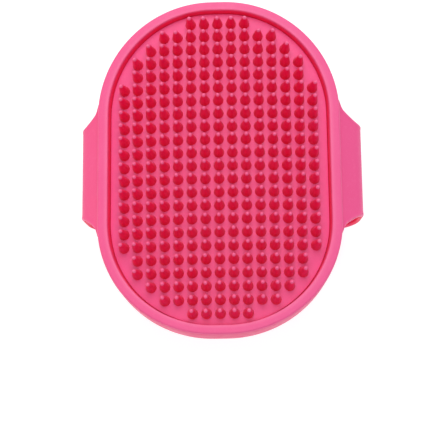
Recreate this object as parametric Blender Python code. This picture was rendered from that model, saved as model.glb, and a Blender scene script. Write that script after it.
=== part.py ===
"""Rubber curry brush for washing and massaging a pet.

A curved oval body carries a raised rim. A mat of conical nubs lies in the tray inside the rim. Two strap
halves hang from wings on the body's sides, curl round behind it and overlap under the palm, where four
mushroom studs on the one half button through a choice of holes in the other.

Metres. +Z points out of the nub face and +Y runs along the body. The brush stands on the heads of its strap
studs, nubs up, and the origin is on that surface, midway along and across the brush.
"""

import math

import bmesh
import bpy
from mathutils import Matrix, Vector

MM = 0.001
GAP = 0.3 * MM

# Body. Insets are measured in from its outline, and heights up from the nub face.
BODY_LENGTH = 123.0 * MM
BODY_WIDTH = 87.6 * MM
CORNER_RADIUS = 41.5 * MM
CORNER_STEPS = 12
FACE_RADIUS = 235.0 * MM
RIM_HEIGHT = 3.1 * MM
RIM_WIDTH = 4.3 * MM
RIM_ROUND = 0.7 * MM
WALL_FLARE = 0.4 * MM
BACK_DEPTH = 5.0 * MM
BACK_CHAMFER = 0.5 * MM
BACK_LIP = 2.6 * MM
RECESS_DEPTH = 1.5 * MM
MAT_THICKNESS = 1.6 * MM
MAT_CHAMFER = 0.3 * MM

# Nubs, in rows across the body. The rows at each end of the face are shorter than the full ones.
COLUMN_PITCH = 4.85 * MM
ROW_PITCH = 4.85 * MM
END_ROWS = (5, 9, 11, 13, 13)
FULL_ROW = 15
FULL_ROWS = 13
NUB_HEIGHT = 7.0 * MM
NUB_BASE_RADIUS = 1.85 * MM
NUB_TIP_RADIUS = 0.8 * MM
NUB_ROOT = 0.8 * MM
NUB_SIDES = 6
NUB_TWIST = math.radians(137.508)

# Wings and strap. A wing slopes out of the wall and carries on as a strap half, which turns down round a
# curl, runs along a leg and a haunch, and ends in a level crown.
STRAP_THICKNESS = 1.4 * MM
STRAP_HALF_WIDTH = 17.0 * MM
WING_ROOT_X = 43.0 * MM
WING_ROOT_HEIGHT = -3.2 * MM
WING_SLOPE = math.radians(40)
WING_LENGTH = 6.7 * MM
WING_FLARE = 5.6 * MM
WING_FLARE_POWER = 1.2
FILLET_SHARE = 0.22
FILLET_REACH = 2.2 * MM
WING_OVERLAP = 1.8 * MM
CURL_RADIUS = 3.4 * MM
LEG_SLOPE = math.radians(97)
CROWN_START = 32.0 * MM
HAND_ROOM = 26.0 * MM
STUD_HALF_REACH = 11.0 * MM
HOLE_HALF_REACH = 19.0 * MM
TIP_ROUND = 9.0 * MM
WING_STEPS = 6
CURL_STEPS = 6
TIP_STEPS = 5
STRAP_STEP = 3.5 * MM

# Studs and holes, in two rows along the strap. Hole places are counted from the strap's middle.
HOLE_PITCH = 5.0 * MM
HOLE_PLACES = (-2, -1, 0, 1, 2, 3)
STUD_PLACES = (-1, 1)
HOLE_ROW = 8.0 * MM
HOLE_RADIUS = 1.8 * MM
SHANK_RADIUS = 1.4 * MM
HEAD_RADIUS = 2.6 * MM
HEAD_HEIGHT = 1.8 * MM
CROWN_FLAT_RADIUS = 1.0 * MM
FLANGE_RADIUS = 3.2 * MM
FLANGE_HEIGHT = 1.0 * MM
ROUND_SIDES = 12

# The crowns lie one on the other, the outer one a strap's thickness and a gap further down.
LAYER_STEP = STRAP_THICKNESS + GAP
HEAD_SEAT = STRAP_THICKNESS + LAYER_STEP + GAP
FACE_HEIGHT = BACK_DEPTH + HAND_ROOM + HEAD_SEAT + HEAD_HEIGHT
PALM_LEVEL = -BACK_DEPTH - HAND_ROOM
WING_START = (WING_ROOT_X, WING_ROOT_HEIGHT, -WING_SLOPE)

# A half swings about the upper corner of the slit between it and its wing.
SLIT = WING_LENGTH + GAP / 2
HINGE_X = WING_ROOT_X + SLIT * math.cos(WING_SLOPE) + STRAP_THICKNESS / 2 * math.sin(WING_SLOPE)
HINGE_Z = (
    FACE_HEIGHT
    + WING_ROOT_HEIGHT
    - SLIT * math.sin(WING_SLOPE)
    + STRAP_THICKNESS / 2 * math.cos(WING_SLOPE)
)


def clear_scene():
    """Removes every object that is in the file already."""
    for old in list(bpy.data.objects):
        bpy.data.objects.remove(old, do_unlink=True)


def rubber(name, colour, roughness):
    """A rubber finish of one colour."""
    material = bpy.data.materials.new(name)
    material.use_nodes = True
    shader = material.node_tree.nodes["Principled BSDF"]
    shader.inputs["Base Color"].default_value = (*colour, 1.0)
    shader.inputs["Roughness"].default_value = roughness
    shader.inputs["Metallic"].default_value = 0.0
    return material


def add_object(name, bm, material=None):
    """Links a new object that holds the mesh bm."""
    bmesh.ops.recalc_face_normals(bm, faces=bm.faces)
    mesh = bpy.data.meshes.new(name)
    bm.to_mesh(mesh)
    bm.free()
    made = bpy.data.objects.new(name, mesh)
    bpy.context.scene.collection.objects.link(made)
    if material:
        mesh.materials.append(material)
    return made


def add_boolean(target, other, operation):
    """Joins other to target, or cuts it away, and leaves it in the scene as a hidden guide."""
    other.hide_render = True
    other.display_type = "WIRE"
    cut = target.modifiers.new(operation.lower() + "_" + other.name, "BOOLEAN")
    cut.operation = operation
    cut.solver = "EXACT"
    cut.object = other


def outline(inset):
    """Points round the body's rounded outline, moved in by inset, anticlockwise from +X."""
    radius = CORNER_RADIUS - inset
    centre_x = BODY_WIDTH / 2 - CORNER_RADIUS
    centre_y = BODY_LENGTH / 2 - CORNER_RADIUS
    points = []
    for corner, (side_x, side_y) in enumerate(((1, 1), (-1, 1), (-1, -1), (1, -1))):
        for step in range(CORNER_STEPS + 1):
            angle = math.pi / 2 * (corner + step / CORNER_STEPS)
            x = side_x * centre_x + radius * math.cos(angle)
            y = side_y * centre_y + radius * math.sin(angle)
            points.append((x, y))
    return points


def outline_stack(profile):
    """A closed solid whose wall runs through outlines at (inset, height), with both ends filled."""
    bm = bmesh.new()
    loops = []
    for inset, height in profile:
        loops.append([bm.verts.new((x, y, height)) for x, y in outline(inset)])
    count = len(loops[0])
    for first, second in zip(loops, loops[1:]):
        for i in range(count):
            j = (i + 1) % count
            bm.faces.new((first[i], first[j], second[j], second[i]))
    bm.faces.new(loops[0])
    bm.faces.new(loops[-1])
    return bm


def on_face(across, along, height):
    """A point of the curved face: across is measured round the curve, height out of it."""
    angle = across / FACE_RADIUS
    radius = FACE_RADIUS + height
    return Vector(
        (
            radius * math.sin(angle),
            along,
            FACE_HEIGHT + radius * math.cos(angle) - FACE_RADIUS,
        )
    )


def bend_to_face(bm):
    """Cuts a flat solid between the columns of nubs, so that it can curve, and bends it to the face."""
    half_columns = int(BODY_WIDTH / 2 / COLUMN_PITCH)
    for column in range(-half_columns, half_columns):
        geometry = bm.verts[:] + bm.edges[:] + bm.faces[:]
        place = ((column + 0.5) * COLUMN_PITCH, 0, 0)
        bmesh.ops.bisect_plane(bm, geom=geometry, dist=1e-7, plane_co=place, plane_no=(1, 0, 0))
    for vertex in bm.verts:
        vertex.co = on_face(*vertex.co)


def advance(point, length, radius):
    """Moves (x, z, heading) along a strap: straight on if radius is None, else round a clockwise arc."""
    x, z, heading = point
    if radius is None:
        return x + length * math.cos(heading), z + length * math.sin(heading), heading
    turned = heading - length / radius
    x += radius * (math.sin(heading) - math.sin(turned))
    z += radius * (math.cos(turned) - math.cos(heading))
    return x, z, turned


def strap_segments(layer, reach):
    """(length, radius) of a wing and its half's curl, leg, haunch and crown. Layer 0 is next to the hand.

    The leg's length and the haunch's radius are solved so that the crown starts level, at its own depth.
    """
    wing = (WING_LENGTH + GAP, None)
    curl = (CURL_RADIUS * (LEG_SLOPE - WING_SLOPE), CURL_RADIUS)
    x, z, steep = advance(advance(WING_START, *wing), *curl)
    across = CROWN_START - x
    down = PALM_LEVEL - STRAP_THICKNESS / 2 - layer * LAYER_STEP - z
    leg_x, leg_z = math.cos(steep), math.sin(steep)
    haunch_x, haunch_z = math.sin(steep), -1 - math.cos(steep)
    scale = leg_x * haunch_z - leg_z * haunch_x
    leg = (across * haunch_z - down * haunch_x) / scale
    haunch = (leg_x * down - leg_z * across) / scale
    haunch_length = (math.pi - LEG_SLOPE) * haunch
    return [wing, curl, (leg, None), (haunch_length, haunch), (CROWN_START + reach, None)]


def strap_point(segments, travel):
    """(x, z, heading) of the middle layer at a distance from the wing's root, on the +X side."""
    point = WING_START
    for length, radius in segments:
        step = min(travel, length)
        point = advance(point, step, radius)
        travel -= step
    return point


def strap_half_width(segments, travel):
    """Half the width of a wing and its strap half at a distance from the wing's root.

    It flares from the fold, where the strap is furthest out, back to the root, and is rounded at the tip.
    """
    fold_travel = segments[0][0] + CURL_RADIUS * (math.pi / 2 - WING_SLOPE)
    fold_x = strap_point(segments, fold_travel)[0]
    width = STRAP_HALF_WIDTH
    if travel < fold_travel:
        out = (strap_point(segments, travel)[0] - WING_ROOT_X) / (fold_x - WING_ROOT_X)
        out = min(max(out, 0.0), 1.0)
        width += WING_FLARE * (1 - out) ** WING_FLARE_POWER
        width += FILLET_REACH * max(1 - out / FILLET_SHARE, 0.0) ** 2
    into_tip = travel - (sum(length for length, _ in segments) - TIP_ROUND)
    if into_tip > 0:
        width += math.sqrt(max(TIP_ROUND**2 - into_tip**2, 0.0)) - TIP_ROUND
    return width


def add_band(name, side, segments, travels, material=None):
    """A flat band of the strap's thickness, with a cross-section at each distance from the wing's root."""
    bm = bmesh.new()
    sections = []
    for travel in travels:
        x, z, heading = strap_point(segments, travel)
        width = strap_half_width(segments, travel)
        out_x = -math.sin(heading) * STRAP_THICKNESS / 2
        out_z = math.cos(heading) * STRAP_THICKNESS / 2
        corners = []
        for skin, edge in ((1, 1), (1, -1), (-1, -1), (-1, 1)):
            place = (side * (x + skin * out_x), edge * width, FACE_HEIGHT + z + skin * out_z)
            corners.append(bm.verts.new(place))
        sections.append(corners)
    for first, second in zip(sections, sections[1:]):
        for i in range(4):
            j = (i + 1) % 4
            bm.faces.new((first[i], first[j], second[j], second[i]))
    bm.faces.new(sections[0])
    bm.faces.new(sections[-1])
    return add_object(name, bm, material)


def add_wing(side):
    """The wing on one side of the body, from inside the wall to the slit where the strap half starts."""
    travels = [-WING_OVERLAP]
    for step in range(WING_STEPS + 1):
        travels.append(WING_LENGTH * step / WING_STEPS)
    name = "right_wing_guide" if side > 0 else "left_wing_guide"
    return add_band(name, side, strap_segments(0, 0.0), travels)


def add_body(material):
    """The moulded body: tray floor, rim, flared side wall, back lip, palm recess and both wings."""
    tray_floor = -MAT_THICKNESS - GAP
    profile = [
        (RIM_WIDTH, tray_floor),
        (RIM_WIDTH - GAP, RIM_HEIGHT - RIM_ROUND),
        (RIM_WIDTH - GAP - RIM_ROUND, RIM_HEIGHT),
        (WALL_FLARE + RIM_ROUND, RIM_HEIGHT),
        (WALL_FLARE, RIM_HEIGHT - RIM_ROUND),
        (0.0, -BACK_DEPTH + BACK_CHAMFER),
        (BACK_CHAMFER, -BACK_DEPTH),
        (BACK_LIP, -BACK_DEPTH),
        (BACK_LIP + RECESS_DEPTH / 2, -BACK_DEPTH + RECESS_DEPTH),
    ]
    bm = outline_stack(profile)
    bend_to_face(bm)
    body = add_object("brush_body", bm, material)
    for side in (1, -1):
        add_boolean(body, add_wing(side), "UNION")
    return body


def nub_places():
    """Across and along the face, the middle of each nub."""
    rows = END_ROWS + (FULL_ROW,) * FULL_ROWS + END_ROWS[::-1]
    for row, count in enumerate(rows):
        along = ((len(rows) - 1) / 2 - row) * ROW_PITCH
        for column in range(count):
            yield (column - (count - 1) / 2) * COLUMN_PITCH, along


def add_nub_posts():
    """All the nubs, each a tapering post whose root is sunk in the mat."""
    bm = bmesh.new()
    length = NUB_HEIGHT + NUB_ROOT
    for index, (across, along) in enumerate(nub_places()):
        middle = on_face(across, along, length / 2 - NUB_ROOT)
        upright = Matrix.Rotation(across / FACE_RADIUS, 4, "Y")
        turned = Matrix.Rotation(index * NUB_TWIST, 4, "Z")
        bmesh.ops.create_cone(
            bm,
            cap_ends=True,
            segments=NUB_SIDES,
            radius1=NUB_BASE_RADIUS,
            radius2=NUB_TIP_RADIUS,
            depth=length,
            matrix=Matrix.Translation(middle) @ upright @ turned,
        )
    return add_object("nub_guide", bm)


def add_nub_mat(material):
    """The mat that lies in the tray, with its nubs."""
    edge = RIM_WIDTH + GAP
    profile = [
        (edge, -MAT_THICKNESS),
        (edge, -MAT_CHAMFER),
        (edge + MAT_CHAMFER, 0.0),
    ]
    bm = outline_stack(profile)
    bend_to_face(bm)
    mat = add_object("nub_mat", bm, material)
    add_boolean(mat, add_nub_posts(), "UNION")
    return mat


def strap_travels(segments):
    """Distances from the wing's root at which a half gets a cross-section, closest in its curl and tip."""
    start = segments[0][0]
    curl_end = start + segments[1][0]
    total = sum(length for length, _ in segments)
    body_steps = round((total - TIP_ROUND - curl_end) / STRAP_STEP)
    travels = [start + segments[1][0] * step / CURL_STEPS for step in range(CURL_STEPS)]
    for step in range(body_steps + 1):
        travels.append(curl_end + (total - TIP_ROUND - curl_end) * step / body_steps)
    for step in range(1, TIP_STEPS + 1):
        travels.append(total - TIP_ROUND * (1 - math.sin(math.pi / 2 * step / TIP_STEPS)))
    return travels


def add_strap(name, side, layer, reach, material):
    """One strap half, on the side of the sign given."""
    segments = strap_segments(layer, reach)
    return add_band(name, side, segments, strap_travels(segments), material)


def cut_holes(strap, places):
    """Round holes through a strap, two at each place."""
    bm = bmesh.new()
    for place in places:
        for row in (HOLE_ROW, -HOLE_ROW):
            middle = (place * HOLE_PITCH, row, FACE_HEIGHT + PALM_LEVEL - LAYER_STEP)
            bmesh.ops.create_cone(
                bm,
                cap_ends=True,
                segments=ROUND_SIDES,
                radius1=HOLE_RADIUS,
                radius2=HOLE_RADIUS,
                depth=4 * STRAP_THICKNESS,
                matrix=Matrix.Translation(middle),
            )
    add_boolean(strap, add_object(strap.name + "_hole_guide", bm), "DIFFERENCE")


def add_stud(name, place, row, material):
    """A mushroom stud: a flange by the hand, a shank through both layers, and a head outside them."""
    seat = -HEAD_SEAT
    profile = [
        (FLANGE_RADIUS - 0.6 * MM, GAP + FLANGE_HEIGHT),
        (FLANGE_RADIUS, GAP + FLANGE_HEIGHT * 0.6),
        (FLANGE_RADIUS, GAP),
        (SHANK_RADIUS, GAP),
        (SHANK_RADIUS, seat),
        (HEAD_RADIUS, seat),
        (HEAD_RADIUS, seat - HEAD_HEIGHT * 0.35),
        (HEAD_RADIUS * 0.76, seat - HEAD_HEIGHT * 0.83),
        (CROWN_FLAT_RADIUS, seat - HEAD_HEIGHT),
    ]
    bm = bmesh.new()
    rings = []
    for radius, height in profile:
        ring = []
        for i in range(ROUND_SIDES):
            angle = 2 * math.pi * i / ROUND_SIDES
            ring.append(bm.verts.new((radius * math.cos(angle), radius * math.sin(angle), height)))
        rings.append(ring)
    for first, second in zip(rings, rings[1:]):
        for i in range(ROUND_SIDES):
            j = (i + 1) % ROUND_SIDES
            bm.faces.new((first[i], first[j], second[j], second[i]))
    bm.faces.new(rings[0])
    bm.faces.new(rings[-1])
    stud = add_object(name, bm, material)
    stud.data.shade_smooth()
    stud.data.set_sharp_from_angle(angle=math.radians(40))
    stud.matrix_world = Matrix.Translation((place * HOLE_PITCH, row, FACE_HEIGHT + PALM_LEVEL))
    return stud


def hang_on_hinge(name, side, pieces):
    """Parents the pieces of one strap half to an empty on the line they swing about."""
    hinge = bpy.data.objects.new(name, None)
    hinge.location = (side * HINGE_X, 0, HINGE_Z)
    bpy.context.scene.collection.objects.link(hinge)
    for piece in pieces:
        piece.parent = hinge
        piece.matrix_parent_inverse = Matrix.Translation(-hinge.location)


def build():
    """Builds the brush."""
    clear_scene()
    body_pink = rubber("body_pink", (0.90, 0.16, 0.34), 0.45)
    nub_crimson = rubber("nub_crimson", (0.72, 0.02, 0.09), 0.35)
    add_body(body_pink)
    add_nub_mat(nub_crimson)

    stud_strap = add_strap("stud_strap", -1, 0, STUD_HALF_REACH, body_pink)
    cut_holes(stud_strap, STUD_PLACES)
    studs = []
    for place in STUD_PLACES:
        for row in (HOLE_ROW, -HOLE_ROW):
            studs.append(add_stud(f"strap_stud_{len(studs) + 1}", place, row, body_pink))
    hang_on_hinge("stud_half_hinge", -1, [stud_strap, *studs])

    hole_strap = add_strap("hole_strap", 1, 1, HOLE_HALF_REACH, body_pink)
    cut_holes(hole_strap, HOLE_PLACES)
    hang_on_hinge("hole_half_hinge", 1, [hole_strap])


build()
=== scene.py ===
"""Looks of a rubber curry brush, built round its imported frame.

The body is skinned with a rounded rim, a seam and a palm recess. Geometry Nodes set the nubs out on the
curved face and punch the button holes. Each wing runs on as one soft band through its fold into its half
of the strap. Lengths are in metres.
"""

import math

import bmesh
import bpy
from mathutils import Matrix, Vector


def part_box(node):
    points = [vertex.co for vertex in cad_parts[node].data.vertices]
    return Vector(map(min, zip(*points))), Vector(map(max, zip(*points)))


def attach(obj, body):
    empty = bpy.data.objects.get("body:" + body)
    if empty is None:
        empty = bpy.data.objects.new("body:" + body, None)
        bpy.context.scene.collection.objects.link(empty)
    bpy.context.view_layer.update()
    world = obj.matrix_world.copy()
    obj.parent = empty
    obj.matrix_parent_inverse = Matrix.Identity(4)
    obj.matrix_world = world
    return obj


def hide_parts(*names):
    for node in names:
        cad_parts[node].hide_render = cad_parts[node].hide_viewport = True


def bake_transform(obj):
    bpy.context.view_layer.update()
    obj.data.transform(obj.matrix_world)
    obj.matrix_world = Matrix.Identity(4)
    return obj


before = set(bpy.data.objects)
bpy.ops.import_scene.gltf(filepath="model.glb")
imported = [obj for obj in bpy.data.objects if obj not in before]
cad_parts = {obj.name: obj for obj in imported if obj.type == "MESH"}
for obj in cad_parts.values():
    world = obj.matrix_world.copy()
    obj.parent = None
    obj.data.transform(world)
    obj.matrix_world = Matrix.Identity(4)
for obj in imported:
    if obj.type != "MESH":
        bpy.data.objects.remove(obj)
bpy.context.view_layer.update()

MM = 0.001
MERGE_DISTANCE = 0.001 * MM
SHARP_ANGLE = math.radians(38)

# Body. Insets run in from its outline, and heights up from the nub face. Tone is painted light drawn on
# the
# moulded pieces: -1 is painted crimson shade in a crease, 0 plain pink, and 1 a painted pale highlight on
# an edge.
BODY_LOW, BODY_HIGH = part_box("brush_body")
BODY_LENGTH = BODY_HIGH.y - BODY_LOW.y
BODY_WIDTH = 87.6 * MM
CORNER_RADIUS = 41.5 * MM
CORNER_STEPS = 36
FACE_RADIUS = 235.0 * MM
STRIP_WIDTH = 1.5 * MM
RIM_HEIGHT = 3.1 * MM
BACK_DEPTH = 5.0 * MM
TRAY_DEPTH = 1.9 * MM
RECESS_DEPTH = 1.5 * MM
SEAM_INSET = 4.0 * MM
MAT_INSET = 4.1 * MM
SIDE_SQUEEZE = 0.75 * MM
MAT_THICKNESS = 1.6 * MM
MAT_ROUND = 0.2 * MM
# Painted crimson shade on the mat's rounded edge, by the seam.
MAT_EDGE_SHADE = -0.5

# Nubs. They fill a stadium: two half circles of ARC_RADIUS pitches, ARC_CENTRE rows above and below the
# middle, and what is between.
COLUMN_PITCH = 4.85 * MM
ROW_PITCH = 4.85 * MM
COLUMNS = 15
ROWS = 23
ARC_CENTRE = 4.0
ARC_RADIUS = 7.45
NUB_HEIGHT = 7.0 * MM
NUB_BASE_RADIUS = 1.86 * MM
NUB_TIP_RADIUS = 0.62 * MM
NUB_BULGE = 1.25
NUB_ROOT_ROUND = 0.15 * MM
NUB_ROOT_STEEPNESS = 9.0
NUB_DOME_START = 0.92
NUB_DOME_ROUNDNESS = 0.82
NUB_RING_CROWDING = 1.7
NUB_SINK = 0.3 * MM
NUB_LEAN = math.radians(0.8)
NUB_SEED = 11
NUB_SIDES = 14
NUB_RINGS = 7

FACE_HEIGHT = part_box("nub_mat")[1].z - NUB_HEIGHT

# Wings and strap, by distance along them from the wing's root. WING_START is the root's x, height and
# heading. The flare and the fillet widen the wing towards its root.
STRAP_THICKNESS = 1.4 * MM
STRAP_HALF_WIDTH = 17.0 * MM
LAYER_GAP = 0.3 * MM
LAYER_STEP = STRAP_THICKNESS + LAYER_GAP
WING_START = (43.0 * MM, -3.2 * MM, -math.radians(40))
STUD_WING_LENGTH = 6.3 * MM
HOLE_WING_LENGTH = 8.4 * MM
WING_FLARE = 5.6 * MM
WING_FLARE_POWER = 1.2
FILLET_SHARE = 0.22
FILLET_REACH = 2.2 * MM
WING_OVERLAP = 1.8 * MM
CURL_RADIUS = 3.4 * MM
LEG_SLOPE = math.radians(97)
CROWN_START = 32.0 * MM
HAND_ROOM = 26.0 * MM
PALM_LEVEL = -BACK_DEPTH - HAND_ROOM
STUD_HALF_REACH = 11.0 * MM
HOLE_HALF_REACH = 19.0 * MM
TIP_ROUND = 9.0 * MM
BAND_STEP = 0.9 * MM
BAND_MIDDLES = 6
BEAD_RADIUS = 0.82 * MM
BEAD_STEPS = 5
BEAD_FADE = 1.9 * MM
FLAT_DEPTHS = (1.15 * MM, 1.5 * MM, BEAD_FADE, 4.0 * MM)
# A painted highlight pales each band's bead towards its edge, fading in over the reach below.
BEAD_HIGHLIGHT = 0.5
HIGHLIGHT_REACH = BEAD_FADE * 0.7
# Painted crimson shade inside each loop is full near the fold and gone at this distance from it.
SHADE_REACH = 26.0 * MM

# Button holes.
HOLE_PITCH = 5.0 * MM
HOLE_COLUMNS = 6
HOLE_MIDDLE = 2.5 * MM
HOLE_ROW = 8.0 * MM
HOLE_RADIUS = 1.8 * MM
HOLE_CHAMFER = 0.3 * MM
HOLE_SIDES = 32
HOLE_RINGS = 8

# Studs, inside the boxes of their nodes.
STUD_COUNT = 4
STUD_SIDES = 32
FLANGE_THICKNESS = 1.35 * MM
FLANGE_ROUND = 0.5 * MM
FLANGE_FLAT = 0.55
FLANGE_CROWN = 0.04 * MM
SHANK_RADIUS = 1.4 * MM
HEAD_RADIUS = 2.6 * MM
HEAD_HEIGHT = 1.8 * MM
HEAD_EDGE = 0.35 * MM
HEAD_STEPS = 8
CROWN_RADIUS = 1.0 * MM

# Viewpoint, from the middle of the nub face.
VIEW_TILT = math.radians(-14.03)
VIEW_LEAN = math.radians(-2.03)
VIEW_ROLL = math.radians(0.58)
VIEW_OFFSET = Vector((1.39, 17.58, -542.1)) * MM
VIEW_LENS = 127.7
VIEW_SENSOR = 36.0
VIEW_CLIP = 0.01

# Studio. A light has a place, a size, a power and a colour.
FLOOR_HALF_SIZE = 15.0
FLOOR_GLOW = 0.78
FLOOR_GREY = (0.40, 0.40, 0.40)
FLOOR_PALE_GREY = (0.44, 0.44, 0.44)
SURROUND_STRENGTH = 0.45
WHITE = (1.0, 1.0, 1.0)
WARM = (1.0, 0.4, 0.0)
LIGHTS = {
    "top_softbox": ((0.0, 0.45, 0.75), 0.7, 4.3, WHITE),
    "front_softbox": ((0.05, -0.35, 0.9), 0.5, 1.8, WHITE),
    "warm_side": ((-0.6, 0.0, 0.12), 0.35, 0.6, WARM),
}

# Rubber. A scale is in features to the metre.
CLOUD_SCALE = 55.0
CLOUD_STRENGTH = 0.16
FLECK_SCALE = 900.0
FLECK_STRENGTH = 0.10
SMEAR_SCALE = 240.0
GRAIN_SCALE = 6500.0
RIPPLE_SCALE = 330.0
RIPPLE_HEIGHT = 0.08 * MM
SHEEN_TINT = (1.0, 0.6, 0.7, 1.0)
MOULDED_FINISH = {"gloss": 0.42, "shine": 0.35, "grain_depth": 0.03 * MM}
NUB_FINISH = {"gloss": 0.38, "shine": 0.22, "grain_depth": 0.02 * MM}

# Pale pink is both random flecks and painted highlights on edges. Crimson is painted shade, in creases and
# on the nubs' sides; the dark crimson is painted shade at the nubs' roots, and the tip pink a painted
# highlight.
PINK = (0.86, 0.086, 0.280)
DEEP_PINK = (0.80, 0.048, 0.200)
FLECK_AND_HIGHLIGHT_PINK = (0.94, 0.260, 0.440)
SHADE_CRIMSON = (0.88, 0.003, 0.080)
ROOT_SHADE_CRIMSON = (0.74, 0.002, 0.044)
NUB_TIP_HIGHLIGHT_PINK = (0.92, 0.14, 0.32)


# ---------------------------------------------------------------- node helpers


def add_node(tree, kind, settings=None, **inputs):
    """A node with its settings made and its inputs, named with underscores for spaces, set or linked."""
    node = tree.nodes.new(kind)
    for key, value in (settings or {}).items():
        setattr(node, key, value)
    for key, value in inputs.items():
        plug(tree, value, node.inputs[key.replace("_", " ")])
    return node


def plug(tree, value, socket):
    """Links value to a socket if it is a socket itself, and sets it as the socket's value if not."""
    if isinstance(value, bpy.types.NodeSocket):
        tree.links.new(value, socket)
    else:
        socket.default_value = value


def calc(tree, operation, *values):
    """A Math node's result."""
    node = tree.nodes.new("ShaderNodeMath")
    node.operation = operation
    for value, socket in zip(values, node.inputs):
        plug(tree, value, socket)
    return node.outputs[0]


def blend_colours(tree, share, first, second):
    """A colour that goes from first to second as share goes from 0 to 1."""
    node = tree.nodes.new("ShaderNodeMix")
    node.data_type = "RGBA"
    plug(tree, share, node.inputs["Factor"])
    for value, name in ((first, "A"), (second, "B")):
        socket = next(s for s in node.inputs if s.name == name and s.type == "RGBA")
        plug(tree, (*value, 1.0) if isinstance(value, tuple) else value, socket)
    return next(s for s in node.outputs if s.type == "RGBA")


def span(tree, value, low, high, to_low, to_high):
    """Value carried from one span to another, and held inside it."""
    node = add_node(tree, "ShaderNodeMapRange", {"clamp": True}, Value=value)
    for name, number in (("From Min", low), ("From Max", high), ("To Min", to_low), ("To Max", to_high)):
        node.inputs[name].default_value = number
    return node.outputs["Result"]


def own_place(tree):
    """Outputs X, Y and Z of each point's own place."""
    position = tree.nodes.new("GeometryNodeInputPosition").outputs[0]
    return add_node(tree, "ShaderNodeSeparateXYZ", Vector=position).outputs


def set_position(tree, geometry, place):
    """Geometry with its points moved to a place."""
    node = add_node(tree, "GeometryNodeSetPosition", Geometry=geometry, Position=place)
    return node.outputs["Geometry"]


# ---------------------------------------------------------------- materials


def noise(tree, place, scale, detail):
    """Even noise in the object's own space, scale in features to the metre."""
    node = add_node(tree, "ShaderNodeTexNoise", Vector=place, Scale=scale, Detail=detail, Roughness=0.55)
    return node.outputs["Fac"]


def rubber(name, colour_of, gloss, shine, grain_depth):
    """Satin rubber: cloudy tone, uneven gloss, mould grain and a faint long ripple.

    colour_of is given the tree, and returns the colour before its clouds and flecks.
    """
    material = bpy.data.materials.new(name)
    material.use_nodes = True
    tree = material.node_tree
    shader = tree.nodes["Principled BSDF"]
    place = tree.nodes.new("ShaderNodeTexCoord").outputs["Object"]

    clouds = span(tree, noise(tree, place, CLOUD_SCALE, 3.0), 0.3, 0.7, 0.0, CLOUD_STRENGTH)
    flecks = span(tree, noise(tree, place, FLECK_SCALE, 2.0), 0.55, 0.75, 0.0, FLECK_STRENGTH)
    colour = colour_of(tree)
    colour = blend_colours(tree, clouds, colour, DEEP_PINK)
    colour = blend_colours(tree, flecks, colour, FLECK_AND_HIGHLIGHT_PINK)
    tree.links.new(colour, shader.inputs["Base Color"])

    smears = noise(tree, place, SMEAR_SCALE, 4.0)
    roughness = span(tree, smears, 0.3, 0.7, gloss - 0.06, gloss + 0.08)
    tree.links.new(roughness, shader.inputs["Roughness"])
    shader.inputs["Specular IOR Level"].default_value = shine
    shader.inputs["Sheen Weight"].default_value = 0.06
    shader.inputs["Sheen Roughness"].default_value = 0.45
    shader.inputs["Sheen Tint"].default_value = SHEEN_TINT

    grain = noise(tree, place, GRAIN_SCALE, 2.0)
    ripple = noise(tree, place, RIPPLE_SCALE, 2.0)
    fine = add_node(tree, "ShaderNodeBump", Height=grain, Strength=0.25, Distance=grain_depth)
    long = add_node(
        tree,
        "ShaderNodeBump",
        Height=ripple,
        Strength=0.35,
        Distance=RIPPLE_HEIGHT,
        Normal=fine.outputs[0],
    )
    tree.links.new(long.outputs[0], shader.inputs["Normal"])
    return material


def moulded_colour_with_painted_light(tree):
    """Pink with painted crimson shade in creases and painted pale highlights on edges, by the tone drawn
    on the mesh.
    """
    tone = add_node(tree, "ShaderNodeAttribute", {"attribute_name": "tone"}).outputs["Fac"]
    painted_shade = calc(tree, "MULTIPLY", tone, -1.0)
    colour = blend_colours(tree, span(tree, tone, 0.0, 1.0, 0.0, 1.0), PINK, FLECK_AND_HIGHLIGHT_PINK)
    return blend_colours(tree, span(tree, painted_shade, 0.0, 1.0, 0.0, 1.0), colour, SHADE_CRIMSON)


def nub_colour_with_painted_light(tree):
    """Painted shade and highlight: crimson sides, darkest at the root, and a pink tip."""
    rise = add_node(tree, "ShaderNodeAttribute", {"attribute_name": "rise"}).outputs["Fac"]
    side = blend_colours(tree, span(tree, rise, 0.0, 0.5, 0.0, 1.0), ROOT_SHADE_CRIMSON, SHADE_CRIMSON)
    return blend_colours(tree, span(tree, rise, 0.87, 0.95, 0.0, 1.0), side, NUB_TIP_HIGHLIGHT_PINK)


def pale_floor():
    """The matt, nearly white surface that the brush stands on."""
    material = bpy.data.materials.new("pale_floor")
    material.use_nodes = True
    tree = material.node_tree
    shader = tree.nodes["Principled BSDF"]
    place = tree.nodes.new("ShaderNodeTexCoord").outputs["Object"]
    colour = blend_colours(tree, noise(tree, place, 3.0, 2.0), FLOOR_GREY, FLOOR_PALE_GREY)
    tree.links.new(colour, shader.inputs["Base Color"])
    shader.inputs["Roughness"].default_value = 0.8
    shader.inputs["Emission Color"].default_value = (*WHITE, 1.0)
    shader.inputs["Emission Strength"].default_value = FLOOR_GLOW
    return material


# ---------------------------------------------------------------- mesh helpers


def add_piece(name, bm, material):
    """A smooth piece that holds the mesh bm."""
    bmesh.ops.recalc_face_normals(bm, faces=bm.faces)
    mesh = bpy.data.meshes.new(name)
    bm.to_mesh(mesh)
    bm.free()
    return add_mesh(name, mesh, material)


def add_mesh(name, mesh, material):
    """The same for a finished mesh."""
    mesh.materials.clear()
    mesh.materials.append(material)
    mesh.shade_smooth()
    mesh.set_sharp_from_angle(angle=SHARP_ANGLE)
    piece = bpy.data.objects.new(name, mesh)
    bpy.context.scene.collection.objects.link(piece)
    return piece


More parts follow.
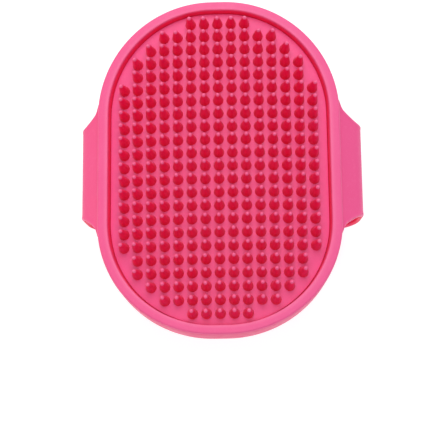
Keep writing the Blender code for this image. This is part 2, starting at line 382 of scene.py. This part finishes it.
def outline(inset):
    """Points round the body, anticlockwise from +X, moved in by inset and a little more at the sides."""
    radius = CORNER_RADIUS - inset
    squeeze = 1 - SIDE_SQUEEZE * min(inset / SEAM_INSET, 1.0) / (BODY_WIDTH / 2)
    centre_x = BODY_WIDTH / 2 - CORNER_RADIUS
    centre_y = BODY_LENGTH / 2 - CORNER_RADIUS
    for corner, (side_x, side_y) in enumerate(((1, 1), (-1, 1), (-1, -1), (1, -1))):
        for step in range(CORNER_STEPS + 1):
            angle = math.pi / 2 * (corner + step / CORNER_STEPS)
            x = side_x * centre_x + radius * math.cos(angle)
            y = side_y * centre_y + radius * math.sin(angle)
            yield x * squeeze, y


def on_face(across, along, height):
    """A point of the curved face: across is measured round the curve, height out of it."""
    angle = across / FACE_RADIUS
    radius = FACE_RADIUS + height
    return Vector((radius * math.sin(angle), along, FACE_HEIGHT + radius * math.cos(angle) - FACE_RADIUS))


def outline_solid(name, profile, material):
    """A solid whose wall runs through outlines at (inset, height, tone of painted light), bent to the
    face, ends closed.
    """
    bm = bmesh.new()
    painted_light_layer = bm.verts.layers.float.new("tone")
    loops = []
    for inset, height, tone in profile:
        loop = []
        for x, y in outline(inset):
            vertex = bm.verts.new((x, y, height))
            vertex[painted_light_layer] = tone
            loop.append(vertex)
        loops.append(loop)
    count = len(loops[0])
    for first, second in zip(loops, loops[1:]):
        for i in range(count):
            j = (i + 1) % count
            bm.faces.new((first[i], first[j], second[j], second[i]))
    caps = [bm.faces.new(loops[0]), bm.faces.new(loops[-1])]
    strips = int(BODY_WIDTH / STRIP_WIDTH)
    for strip in range(1, strips):
        edges = {edge for face in caps for edge in face.edges}
        verts = {vertex for face in caps for vertex in face.verts}
        cut = bmesh.ops.bisect_plane(
            bm,
            geom=caps + list(edges) + list(verts),
            dist=MERGE_DISTANCE / 10,
            plane_co=((strip / strips - 0.5) * BODY_WIDTH, 0, 0),
            plane_no=(1, 0, 0),
        )
        caps = [item for item in cut["geom"] if isinstance(item, bmesh.types.BMFace)]
    for vertex in bm.verts:
        vertex.co = on_face(*vertex.co)
    return add_piece(name, bm, material)


def arc(inset, height, radius, start, end, steps, tone):
    """Profile points round an arc. Angle 0 points in from the wall, and 90 up."""
    for step in range(steps + 1):
        angle = math.radians(start + (end - start) * step / steps)
        yield inset + radius * math.cos(angle), height + radius * math.sin(angle), tone


# ---------------------------------------------------------------- body and mat


def body_profile():
    """The body's wall: up out of the tray, over the rim, down the outside and in under the back."""
    inner_round = 0.5 * MM
    outer_round = 0.8 * MM
    back_round = 0.8 * MM
    # The third numbers are painted light: crimson painted shade on the seam and inner wall, darker painted
    # shade down the outer wall and in the back recess, and pale painted highlights on the rounded edges.
    profile = [
        (SEAM_INSET + 0.05 * MM, -TRAY_DEPTH, -1.0),
        (SEAM_INSET, -0.5 * MM, -1.0),
        (SEAM_INSET - 0.08 * MM, 0.3 * MM, -1.0),
        (SEAM_INSET - 0.20 * MM, 1.3 * MM, -0.95),
        (SEAM_INSET - 0.28 * MM, 2.0 * MM, -0.7),
    ]
    profile += arc(3.2 * MM, RIM_HEIGHT - inner_round, inner_round, 6, 90, 6, 0.3)
    profile.append((2.3 * MM, RIM_HEIGHT + 0.05 * MM, 0.1))
    profile += arc(1.25 * MM, RIM_HEIGHT - outer_round, outer_round, 90, 172, 7, 0.12)
    profile += [
        (0.46 * MM, 1.95 * MM, -0.25),
        (0.38 * MM, 1.75 * MM, -0.45),
        (0.32 * MM, 1.45 * MM, -0.3),
        (0.16 * MM, -1.2 * MM, -0.38),
        (0.02 * MM, -3.9 * MM, -0.32),
    ]
    profile += arc(back_round, -BACK_DEPTH + back_round, back_round, 184, 270, 6, 0.12)
    profile += [
        (2.2 * MM, -BACK_DEPTH, 0.05),
        (2.7 * MM, -BACK_DEPTH + 0.12 * MM, 0.1),
        (3.0 * MM, -BACK_DEPTH + 0.45 * MM, 0.0),
        (3.3 * MM, -BACK_DEPTH + 1.15 * MM, -0.2),
        (3.7 * MM, -BACK_DEPTH + RECESS_DEPTH - 0.05 * MM, -0.2),
        (4.4 * MM, -BACK_DEPTH + RECESS_DEPTH, 0.0),
    ]
    return profile


def mat_profile():
    """The mat's edge, rounded where it meets the seam, with painted crimson shade down its side and round
    its edge.
    """
    profile = [(MAT_INSET, -MAT_THICKNESS, -1.0), (MAT_INSET, -0.8 * MM, -1.0)]
    for inset, height, _tone in arc(MAT_INSET + MAT_ROUND, -MAT_ROUND, MAT_ROUND, 180, 90, 4, 0.0):
        profile.append((inset, height, MAT_EDGE_SHADE * (1 - (inset - MAT_INSET) / MAT_ROUND)))
    profile.append((MAT_INSET + 1.2 * MM, 0.0, 0.0))
    return profile


# ---------------------------------------------------------------- nubs


def new_tree(name, inputs):
    """A geometry tree with named inputs, given as (name, socket type). Returns it with its input node."""
    tree = bpy.data.node_groups.new(name, "GeometryNodeTree")
    tree.interface.new_socket("Geometry", in_out="OUTPUT", socket_type="NodeSocketGeometry")
    tree.interface.new_socket("Geometry", in_out="INPUT", socket_type="NodeSocketGeometry")
    for label, kind in inputs:
        tree.interface.new_socket(label, in_out="INPUT", socket_type=kind)
    return tree, tree.nodes.new("NodeGroupInput").outputs


def run_tree(name, tree, values, material, start=None):
    """Runs a tree as a modifier, and returns its result as a plain piece."""
    host = bpy.data.objects.new(name + "_host", start or bpy.data.meshes.new(name + "_host"))
    bpy.context.scene.collection.objects.link(host)
    modifier = host.modifiers.new(tree.name, "NODES")
    modifier.node_group = tree
    for item in tree.interface.items_tree:
        if item.in_out == "INPUT" and item.name in values:
            modifier[item.identifier] = values[item.name]
    depsgraph = bpy.context.evaluated_depsgraph_get()
    depsgraph.update()
    mesh = bpy.data.meshes.new_from_object(host.evaluated_get(depsgraph), depsgraph=depsgraph)
    mesh.name = name
    bpy.data.objects.remove(host)
    return add_mesh(name, mesh, material)


def nub_shape(tree, get):
    """One nub: a post that narrows to a rounded tip. Its share of the way up is stored as rise."""
    post = add_node(
        tree,
        "GeometryNodeMeshCylinder",
        {"fill_type": "NGON"},
        Vertices=get["Nub sides"],
        Side_Segments=get["Nub rings"],
        Radius=1.0,
        Depth=1.0,
    )
    place = own_place(tree)
    left = calc(tree, "SUBTRACT", 0.5, place["Z"])
    rise = calc(tree, "SUBTRACT", 1.0, calc(tree, "POWER", left, NUB_RING_CROWDING))
    taper = calc(tree, "SUBTRACT", get["Base radius"], get["Tip radius"])
    narrowing = calc(tree, "POWER", rise, get["Bulge"])
    radius = calc(tree, "SUBTRACT", get["Base radius"], calc(tree, "MULTIPLY", taper, narrowing))
    above_root = calc(tree, "MULTIPLY", rise, NUB_ROOT_STEEPNESS)
    root = calc(tree, "MAXIMUM", calc(tree, "SUBTRACT", 1.0, above_root), 0.0)
    radius = calc(tree, "ADD", radius, calc(tree, "MULTIPLY", root, NUB_ROOT_ROUND))
    past_start = calc(tree, "SUBTRACT", rise, NUB_DOME_START)
    into_dome = calc(tree, "MAXIMUM", calc(tree, "DIVIDE", past_start, 1.0 - NUB_DOME_START), 0.0)
    dome_squared = calc(tree, "POWER", into_dome, 2.0)
    dome = calc(tree, "SUBTRACT", 1.0, calc(tree, "MULTIPLY", dome_squared, NUB_DOME_ROUNDNESS))
    radius = calc(tree, "MULTIPLY", radius, calc(tree, "SQRT", dome))
    length = calc(tree, "ADD", get["Nub height"], NUB_SINK)
    height = calc(tree, "SUBTRACT", calc(tree, "MULTIPLY", rise, length), NUB_SINK)
    stored = add_node(
        tree,
        "GeometryNodeStoreNamedAttribute",
        {"data_type": "FLOAT", "domain": "POINT"},
        Geometry=post.outputs["Mesh"],
        Name="rise",
    )
    plug(tree, rise, next(s for s in stored.inputs if s.name == "Value" and s.type == "VALUE"))
    turned = add_node(
        tree,
        "ShaderNodeCombineXYZ",
        X=calc(tree, "MULTIPLY", place["X"], radius),
        Y=calc(tree, "MULTIPLY", place["Y"], radius),
        Z=height,
    )
    return set_position(tree, stored.outputs["Geometry"], turned.outputs["Vector"])


def nub_field_tree():
    """Nubs at the crossings of a grid that is trimmed to a stadium and curved to the face."""
    tree, get = new_tree(
        "nub_field",
        (
            ("Columns", "NodeSocketInt"),
            ("Rows", "NodeSocketInt"),
            ("Column pitch", "NodeSocketFloat"),
            ("Row pitch", "NodeSocketFloat"),
            ("Arc centre", "NodeSocketFloat"),
            ("Arc radius", "NodeSocketFloat"),
            ("Face radius", "NodeSocketFloat"),
            ("Face height", "NodeSocketFloat"),
            ("Nub height", "NodeSocketFloat"),
            ("Base radius", "NodeSocketFloat"),
            ("Tip radius", "NodeSocketFloat"),
            ("Bulge", "NodeSocketFloat"),
            ("Nub sides", "NodeSocketInt"),
            ("Nub rings", "NodeSocketInt"),
            ("Lean", "NodeSocketFloat"),
            ("Seed", "NodeSocketInt"),
            ("Material", "NodeSocketMaterial"),
        ),
    )
    grid = add_node(
        tree,
        "GeometryNodeMeshGrid",
        Size_X=calc(tree, "MULTIPLY", get["Column pitch"], calc(tree, "SUBTRACT", get["Columns"], 1.0)),
        Size_Y=calc(tree, "MULTIPLY", get["Row pitch"], calc(tree, "SUBTRACT", get["Rows"], 1.0)),
        Vertices_X=get["Columns"],
        Vertices_Y=get["Rows"],
    )
    place = own_place(tree)
    column = calc(tree, "DIVIDE", place["X"], get["Column pitch"])
    row = calc(tree, "ABSOLUTE", calc(tree, "DIVIDE", place["Y"], get["Row pitch"]))
    beyond = calc(tree, "MAXIMUM", calc(tree, "SUBTRACT", row, get["Arc centre"]), 0.0)
    squares = calc(tree, "ADD", calc(tree, "POWER", column, 2.0), calc(tree, "POWER", beyond, 2.0))
    outside = calc(tree, "GREATER_THAN", calc(tree, "SQRT", squares), get["Arc radius"])
    trimmed = add_node(
        tree,
        "GeometryNodeDeleteGeometry",
        {"domain": "POINT", "mode": "ALL"},
        Geometry=grid.outputs["Mesh"],
        Selection=outside,
    )
    angle = calc(tree, "DIVIDE", place["X"], get["Face radius"])
    bend = calc(tree, "SUBTRACT", calc(tree, "COSINE", angle), 1.0)
    drop = calc(tree, "MULTIPLY", get["Face radius"], bend)
    curved = add_node(
        tree,
        "ShaderNodeCombineXYZ",
        X=calc(tree, "MULTIPLY", get["Face radius"], calc(tree, "SINE", angle)),
        Y=place["Y"],
        Z=calc(tree, "ADD", get["Face height"], drop),
    )
    bent = set_position(tree, trimmed.outputs["Geometry"], curved.outputs["Vector"])
    sway = add_node(tree, "FunctionNodeRandomValue", {"data_type": "FLOAT_VECTOR"}, Seed=get["Seed"])
    plug(tree, (-1.0, -1.0, 0.0), sway.inputs[0])
    plug(tree, (1.0, 1.0, 0.0), sway.inputs[1])
    sways = add_node(tree, "ShaderNodeSeparateXYZ", Vector=sway.outputs[0])
    upright = calc(tree, "ARCSINE", calc(tree, "DIVIDE", place["X"], get["Face radius"]))
    turn = add_node(
        tree,
        "ShaderNodeCombineXYZ",
        X=calc(tree, "MULTIPLY", sways.outputs["X"], get["Lean"]),
        Y=calc(tree, "ADD", upright, calc(tree, "MULTIPLY", sways.outputs["Y"], get["Lean"])),
    )
    planted = add_node(
        tree,
        "GeometryNodeInstanceOnPoints",
        Points=bent,
        Instance=nub_shape(tree, get),
        Rotation=turn.outputs["Vector"],
    )
    return finish_tree(tree, planted.outputs["Instances"], get["Material"])


def finish_tree(tree, geometry, material):
    """Ends a tree with its instances made real, shaded smooth, and given their material."""
    real = add_node(tree, "GeometryNodeRealizeInstances", Geometry=geometry)
    smooth = add_node(tree, "GeometryNodeSetShadeSmooth", Geometry=real.outputs["Geometry"])
    soft = smooth.outputs["Geometry"]
    dressed = add_node(tree, "GeometryNodeSetMaterial", Geometry=soft, Material=material)
    out = tree.nodes.new("NodeGroupOutput")
    tree.links.new(dressed.outputs["Geometry"], out.inputs[0])
    return tree


# ---------------------------------------------------------------- wings and strap


def advance(point, length, radius):
    """Moves (x, z, heading) along a strap: straight on if radius is None, else round a clockwise arc."""
    x, z, heading = point
    if radius is None:
        return x + length * math.cos(heading), z + length * math.sin(heading), heading
    turned = heading - length / radius
    x += radius * (math.sin(heading) - math.sin(turned))
    z += radius * (math.cos(turned) - math.cos(heading))
    return x, z, turned


def strap_segments(wing_length, layer, reach):
    """(length, radius) of a wing, its curl, leg, haunch and crown. Layer 0 is the one next to the hand."""
    wing = (wing_length, None)
    curl = (CURL_RADIUS * (LEG_SLOPE + WING_START[2]), CURL_RADIUS)
    x, z, steep = advance(advance(WING_START, *wing), *curl)
    across = CROWN_START - x
    down = PALM_LEVEL - STRAP_THICKNESS / 2 - layer * LAYER_STEP - z
    leg_x, leg_z = math.cos(steep), math.sin(steep)
    haunch_x, haunch_z = math.sin(steep), -1 - math.cos(steep)
    scale = leg_x * haunch_z - leg_z * haunch_x
    leg = (across * haunch_z - down * haunch_x) / scale
    haunch = (leg_x * down - leg_z * across) / scale
    haunch_length = (math.pi - LEG_SLOPE) * haunch
    return [wing, curl, (leg, None), (haunch_length, haunch), (CROWN_START + reach, None)]


def strap_point(segments, travel):
    """(x, z, heading) of the middle layer at a distance from the wing's root, on the +X side."""
    point = WING_START
    for length, radius in segments:
        step = min(travel, length)
        point = advance(point, step, radius)
        travel -= step
    return point


def strap_half_width(point, fold_x, travel, total):
    """Half a band's width at a point: flared from the fold up to the root, and rounded at the tip."""
    x, _, heading = point
    width = STRAP_HALF_WIDTH
    if heading > -math.pi / 2:
        out = max((x - WING_START[0]) / (fold_x - WING_START[0]), 0.0)
        width += WING_FLARE * max(1 - out, 0.0) ** WING_FLARE_POWER
        width += FILLET_REACH * max(1 - out / FILLET_SHARE, 0.0) ** 2
    into_tip = travel - (total - TIP_ROUND)
    if into_tip > 0:
        width += math.sqrt(max(TIP_ROUND**2 - into_tip**2, 0.0)) - TIP_ROUND
    return width


def half_thickness(depth):
    """Half a band's thickness at a depth in from its edge: a rounded bead, and then the flat."""
    if depth < BEAD_RADIUS:
        return math.sqrt(max(BEAD_RADIUS**2 - (BEAD_RADIUS - depth) ** 2, 0.0))
    share = min((depth - BEAD_RADIUS) / (BEAD_FADE - BEAD_RADIUS), 1.0)
    share = share * share * (3 - 2 * share)
    return BEAD_RADIUS + (STRAP_THICKNESS / 2 - BEAD_RADIUS) * share


def edge_depths():
    """Depths in from a band's edge at which its cross-section gets a point."""
    angles = [math.pi / 2 * step / BEAD_STEPS for step in range(BEAD_STEPS + 1)]
    return [BEAD_RADIUS * (1 - math.cos(angle)) for angle in angles] + list(FLAT_DEPTHS)


def band_travels(total):
    """Distances from the root at which a band gets a cross-section, ending in the bead at its tip."""
    start = -WING_OVERLAP
    end = total - BEAD_FADE
    steps = round((end - start) / BAND_STEP)
    travels = [start + (end - start) * step / steps for step in range(steps)]
    tip = [depth for depth in edge_depths() if depth <= BEAD_FADE]
    return travels + [total - depth for depth in reversed(tip)]


def cross_section(half_width, end_depth):
    """(y, half thickness, tone of painted highlight) across a band, from its far edge to its near one."""
    depths = edge_depths()
    points = []
    for depth in depths:
        points.append((half_width - min(depth, half_width), depth))
    inner = half_width - depths[-1]
    for step in range(1, BAND_MIDDLES):
        points.append((inner * (1 - 2 * step / BAND_MIDDLES), depths[-1]))
    for depth in reversed(depths):
        points.append((min(depth, half_width) - half_width, depth))
    section = []
    for y, depth in points:
        depth = min(depth, end_depth)
        # Painted highlight, palest at the bead's edge.
        tone = BEAD_HIGHLIGHT * max(0.0, 1 - depth / HIGHLIGHT_REACH)
        section.append((y, half_thickness(depth), tone))
    return section


def band_mesh(name, side, wing_length, layer, reach):
    """A wing and its half of the strap as one band with a bead round its edge.

    Its inner skin, and its bead past the fold, carry painted crimson shade by the fold, fading to pink
    along the strap.
    """
    segments = strap_segments(wing_length, layer, reach)
    total = sum(length for length, _ in segments)
    fold = wing_length + CURL_RADIUS * (math.pi / 2 + WING_START[2])
    fold_x = strap_point(segments, fold)[0]
    bm = bmesh.new()
    painted_light_layer = bm.verts.layers.float.new("tone")
    rows = []
    for travel in band_travels(total):
        point = strap_point(segments, travel)
        x, z, heading = point
        # How strong the painted crimson shade is: full by the fold, fading along the strap.
        shade = min(max(2 - 2 * abs(travel - wing_length) / SHADE_REACH, 0.0), 1.0)
        section = cross_section(strap_half_width(point, fold_x, travel, total), total - travel)
        row = []
        for skin in (1, -1):
            for y, thick, tone in section[:: skin]:
                out_x = -math.sin(heading) * thick * skin
                out_z = math.cos(heading) * thick * skin
                vertex = bm.verts.new((side * (x + out_x), y, FACE_HEIGHT + z + out_z))
                # Painted shade on the inner skin and on the bead past the fold; the bead elsewhere keeps
                # its painted highlight.
                inside = skin < 0 and thick > 0
                leg_edge = tone > 0 and travel > fold
                vertex[painted_light_layer] = tone * (1 - shade) - shade if inside or leg_edge else tone
                row.append(vertex)
        rows.append(row)
    for first, second in zip(rows, rows[1:]):
        count = len(first)
        for i in range(count):
            j = (i + 1) % count
            bm.faces.new((first[i], first[j], second[j], second[i]))
    bm.faces.new(rows[0])
    bm.faces.new(rows[-1])
    bmesh.ops.remove_doubles(bm, verts=bm.verts, dist=MERGE_DISTANCE)
    bmesh.ops.dissolve_degenerate(bm, edges=bm.edges, dist=MERGE_DISTANCE / 10)
    bmesh.ops.recalc_face_normals(bm, faces=bm.faces)
    mesh = bpy.data.meshes.new(name)
    bm.to_mesh(mesh)
    bm.free()
    return mesh


def button_hole_tree():
    """Two rows of chamfered round holes cut through a band."""
    tree, get = new_tree(
        "button_holes",
        (
            ("Columns", "NodeSocketInt"),
            ("Pitch", "NodeSocketFloat"),
            ("Row spacing", "NodeSocketFloat"),
            ("Middle", "NodeSocketVector"),
            ("Hole radius", "NodeSocketFloat"),
            ("Chamfer", "NodeSocketFloat"),
            ("Half thickness", "NodeSocketFloat"),
            ("Material", "NodeSocketMaterial"),
        ),
    )
    grid = add_node(
        tree,
        "GeometryNodeMeshGrid",
        Size_X=calc(tree, "MULTIPLY", get["Pitch"], calc(tree, "SUBTRACT", get["Columns"], 1.0)),
        Size_Y=get["Row spacing"],
        Vertices_X=get["Columns"],
        Vertices_Y=2,
    )
    moved = add_node(tree, "GeometryNodeSetPosition", Geometry=grid.outputs["Mesh"], Offset=get["Middle"])
    punch = add_node(
        tree,
        "GeometryNodeMeshCylinder",
        {"fill_type": "NGON"},
        Vertices=HOLE_SIDES,
        Side_Segments=HOLE_RINGS,
        Radius=get["Hole radius"],
        Depth=calc(tree, "MULTIPLY", get["Half thickness"], 4.0),
    )
    place = own_place(tree)
    straight = calc(tree, "SUBTRACT", get["Half thickness"], get["Chamfer"])
    past = calc(tree, "SUBTRACT", calc(tree, "ABSOLUTE", place["Z"]), straight)
    flare = calc(tree, "DIVIDE", calc(tree, "MAXIMUM", past, 0.0), get["Hole radius"])
    grow = calc(tree, "ADD", flare, 1.0)
    waisted = add_node(
        tree,
        "ShaderNodeCombineXYZ",
        X=calc(tree, "MULTIPLY", place["X"], grow),
        Y=calc(tree, "MULTIPLY", place["Y"], grow),
        Z=place["Z"],
    )
    shaped = set_position(tree, punch.outputs["Mesh"], waisted.outputs["Vector"])
    punches = add_node(
        tree,
        "GeometryNodeInstanceOnPoints",
        Points=moved.outputs["Geometry"],
        Instance=shaped,
    )
    real = add_node(tree, "GeometryNodeRealizeInstances", Geometry=punches.outputs["Instances"])
    cut = add_node(tree, "GeometryNodeMeshBoolean", {"operation": "DIFFERENCE", "solver": "EXACT"})
    plug(tree, get["Geometry"], cut.inputs["Mesh 1"])
    plug(tree, real.outputs["Geometry"], cut.inputs["Mesh 2"])
    return finish_tree(tree, cut.outputs["Mesh"], get["Material"])


# ---------------------------------------------------------------- studs


def stud_profile(top, bottom, flange):
    """(radius, height) down a stud: its flange, shank and domed head with a flat crown."""
    under_flange = top - FLANGE_THICKNESS
    seat = bottom + HEAD_HEIGHT
    edge = seat - HEAD_EDGE
    profile = [(0.0, top), (flange * FLANGE_FLAT, top - FLANGE_CROWN)]
    for step in range(5):
        angle = math.radians(75 - 22 * step)
        inset = FLANGE_ROUND * (1 - math.cos(angle))
        profile.append((flange - inset, top - FLANGE_ROUND * (1 - math.sin(angle))))
    profile += [
        (flange - 0.1 * MM, under_flange),
        (SHANK_RADIUS, under_flange),
        (SHANK_RADIUS, seat + 0.3 * MM),
        (SHANK_RADIUS + 0.25 * MM, seat + 0.05 * MM),
        (HEAD_RADIUS - 0.3 * MM, seat),
        (HEAD_RADIUS - 0.08 * MM, seat - 0.1 * MM),
        (HEAD_RADIUS, edge),
    ]
    for step in range(1, HEAD_STEPS):
        angle = math.pi / 2 * step / HEAD_STEPS
        radius = CROWN_RADIUS + (HEAD_RADIUS - CROWN_RADIUS) * math.cos(angle)
        profile.append((radius, edge - (HEAD_HEIGHT - HEAD_EDGE) * math.sin(angle)))
    return profile + [(CROWN_RADIUS, bottom), (0.0, bottom)]


def add_stud(node, material):
    """A mushroom stud turned to the size of its node."""
    low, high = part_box(node)
    centre = (low + high) / 2
    bm = bmesh.new()
    verts = []
    for radius, height in stud_profile(high.z, low.z, (high.x - low.x) / 2):
        verts.append(bm.verts.new((centre.x + radius, centre.y, height)))
    edges = [bm.edges.new(pair) for pair in zip(verts, verts[1:])]
    bmesh.ops.spin(
        bm,
        geom=verts + edges,
        cent=centre,
        axis=(0, 0, 1),
        angle=math.tau,
        steps=STUD_SIDES,
        use_merge=True,
    )
    bmesh.ops.remove_doubles(bm, verts=bm.verts, dist=MERGE_DISTANCE)
    stud = add_piece(node + "_turned", bm, material)
    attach(stud, "stud_half")
    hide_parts(node)


# ---------------------------------------------------------------- brush and studio


def build_body(material):
    """The body's skin."""
    body = outline_solid("body_skin", body_profile(), material)
    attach(body, "brush")
    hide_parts("brush_body")


def build_mat(sheet_material, nub_material):
    """The mat's sheet, and the field of nubs that stands on it."""
    mat = outline_solid("nub_mat_sheet", mat_profile(), sheet_material)
    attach(mat, "brush")
    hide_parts("nub_mat")

    nub_values = {
        "Columns": COLUMNS,
        "Rows": ROWS,
        "Column pitch": COLUMN_PITCH,
        "Row pitch": ROW_PITCH,
        "Arc centre": ARC_CENTRE,
        "Arc radius": ARC_RADIUS,
        "Face radius": FACE_RADIUS,
        "Face height": FACE_HEIGHT,
        "Nub height": NUB_HEIGHT,
        "Base radius": NUB_BASE_RADIUS,
        "Tip radius": NUB_TIP_RADIUS,
        "Bulge": NUB_BULGE,
        "Nub sides": NUB_SIDES,
        "Nub rings": NUB_RINGS,
        "Lean": NUB_LEAN,
        "Seed": NUB_SEED,
        "Material": nub_material,
    }
    nubs = run_tree("nub_field", nub_field_tree(), nub_values, nub_material)
    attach(nubs, "brush")
    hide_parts("nub_mat")


def build_strap(material):
    """Both bands, baked where they lie, and the studs."""
    stud_mesh = band_mesh("stud_half_band", -1, STUD_WING_LENGTH, 0, STUD_HALF_REACH)
    stud_band = add_mesh("stud_half_band", stud_mesh, material)
    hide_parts("stud_strap")

    hole_values = {
        "Columns": HOLE_COLUMNS,
        "Pitch": HOLE_PITCH,
        "Row spacing": 2 * HOLE_ROW,
        "Middle": (HOLE_MIDDLE, 0.0, FACE_HEIGHT + PALM_LEVEL - LAYER_STEP - STRAP_THICKNESS / 2),
        "Hole radius": HOLE_RADIUS,
        "Chamfer": HOLE_CHAMFER,
        "Half thickness": STRAP_THICKNESS / 2,
        "Material": material,
    }
    plain_band = band_mesh("hole_half_band", 1, HOLE_WING_LENGTH, 1, HOLE_HALF_REACH)
    hole_band = run_tree("hole_half_band", button_hole_tree(), hole_values, material, plain_band)
    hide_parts("hole_strap")

    for band, joint in ((stud_band, "stud_strap_swing"), (hole_band, "hole_strap_swing")):
        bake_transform(band)

    for number in range(1, STUD_COUNT + 1):
        add_stud(f"strap_stud_{number}", material)


def build_brush():
    """Makes the rubbers, and every piece out of them."""
    moulded_pink = rubber("moulded_pink_rubber", moulded_colour_with_painted_light, **MOULDED_FINISH)
    crimson = rubber("nub_rubber_painted_light", nub_colour_with_painted_light, **NUB_FINISH)
    build_body(moulded_pink)
    build_mat(moulded_pink, crimson)
    build_strap(moulded_pink)


def add_light(name, place, target, size, power, colour):
    """A square soft light that points from a place at a target."""
    data = bpy.data.lights.new(name, "AREA")
    data.shape = "SQUARE"
    data.size = size
    data.energy = power
    data.color = colour
    light = bpy.data.objects.new(name, data)
    light.location = place
    light.rotation_euler = (Vector(target) - Vector(place)).to_track_quat("-Z", "Y").to_euler()
    bpy.context.scene.collection.objects.link(light)


def set_studio():
    """The pale floor, a white surround and soft lights."""
    bm = bmesh.new()
    bmesh.ops.create_grid(bm, x_segments=4, y_segments=4, size=FLOOR_HALF_SIZE)
    floor = add_piece("studio_floor", bm, pale_floor())

    world = bpy.data.worlds.new("white_surround")
    world.use_nodes = True
    background = world.node_tree.nodes["Background"]
    background.inputs["Color"].default_value = (*WHITE, 1.0)
    background.inputs["Strength"].default_value = SURROUND_STRENGTH
    bpy.context.scene.world = world

    face = (0.0, 0.0, FACE_HEIGHT)
    for name, (place, size, power, colour) in LIGHTS.items():
        add_light(name, place, face, size, power, colour)

    scene = bpy.context.scene
    scene.view_settings.view_transform = "Standard"
    scene.view_settings.look = "None"
    scene.view_settings.exposure = 0.0


def set_camera():
    """The viewpoint: above the nub face, tilted towards the near end of the brush."""
    data = bpy.data.cameras.new("view")
    data.sensor_width = VIEW_SENSOR
    data.lens = VIEW_LENS
    data.clip_start = VIEW_CLIP
    camera = bpy.data.objects.new("view", data)
    turn = (
        Matrix.Rotation(VIEW_TILT, 4, "X")
        @ Matrix.Rotation(VIEW_LEAN, 4, "Y")
        @ Matrix.Rotation(VIEW_ROLL, 4, "Z")
    )
    face = Matrix.Translation((0.0, 0.0, FACE_HEIGHT))
    camera.matrix_world = face @ turn.inverted() @ Matrix.Translation(-VIEW_OFFSET)
    bpy.context.scene.collection.objects.link(camera)
    bpy.context.scene.camera = camera


build_brush()
set_studio()
set_camera()
